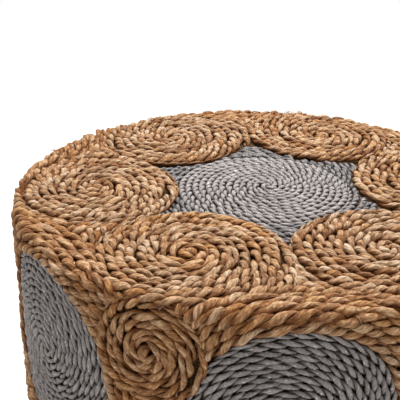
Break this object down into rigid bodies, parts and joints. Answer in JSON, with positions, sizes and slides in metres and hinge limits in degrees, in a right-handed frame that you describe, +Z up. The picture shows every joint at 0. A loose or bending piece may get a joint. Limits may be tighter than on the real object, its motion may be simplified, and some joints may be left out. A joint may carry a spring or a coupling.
{
  "type": "stool",
  "caption": "Round drum stool covered in flat coils of natural rope and grey cord over a plywood and cane frame, to sit on or use as a small table.",
  "frame": {"origin": "on the floor, under the middle of the drum", "axes": "+Z up along the drum's axis, -Y through the middle of a column of grey side coils"},
  "size_m": [0.5, 0.5, 0.3997],
  "materials": {
    "brown_rope": "dry twisted plant-fibre rope",
    "grey_cord": "smooth twisted cord, slightly glossy",
    "jute_canvas": "coarse plain weave",
    "birch_ply": "sanded, bare",
    "peeled_cane": "smooth peeled cane"
  },
  "bodies": {
    "root": {"star_coil": "grey_cord", "star_tip_1": "grey_cord", "star_tip_2": "grey_cord", "star_tip_3": "grey_cord", "star_tip_4": "grey_cord", "star_tip_5": "grey_cord", "star_tip_6": "grey_cord", "top_coil_1": "brown_rope", "top_coil_2": "brown_rope", "top_coil_3": "brown_rope", "top_coil_4": "brown_rope", "top_coil_5": "brown_rope", "top_coil_6": "brown_rope", "rim_corner_1": "brown_rope", "rim_corner_2": "brown_rope", "rim_corner_3": "brown_rope", "rim_corner_4": "brown_rope", "rim_corner_5": "brown_rope", "rim_corner_6": "brown_rope", "medallion_upper_1": "grey_cord", "medallion_upper_2": "grey_cord", "medallion_upper_3": "grey_cord", "medallion_upper_4": "grey_cord", "medallion_upper_5": "grey_cord", "medallion_upper_6": "grey_cord", "medallion_lower_1": "grey_cord", "medallion_lower_2": "grey_cord", "medallion_lower_3": "grey_cord", "medallion_lower_4": "grey_cord", "medallion_lower_5": "grey_cord", "medallion_lower_6": "grey_cord", "scroll_upper_1": "brown_rope", "scroll_upper_2": "brown_rope", "scroll_upper_3": "brown_rope", "scroll_upper_4": "brown_rope", "scroll_upper_5": "brown_rope", "scroll_upper_6": "brown_rope", "scroll_lower_1": "brown_rope", "scroll_lower_2": "brown_rope", "scroll_lower_3": "brown_rope", "scroll_lower_4": "brown_rope", "scroll_lower_5": "brown_rope", "scroll_lower_6": "brown_rope", "jute_lining": "jute_canvas", "seat_board": "birch_ply", "base_ring": "birch_ply", "middle_hoop": "peeled_cane", "post_1": "peeled_cane", "post_2": "peeled_cane", "post_3": "peeled_cane", "post_4": "peeled_cane", "post_5": "peeled_cane", "post_6": "peeled_cane"}
  },
  "joints": []
}
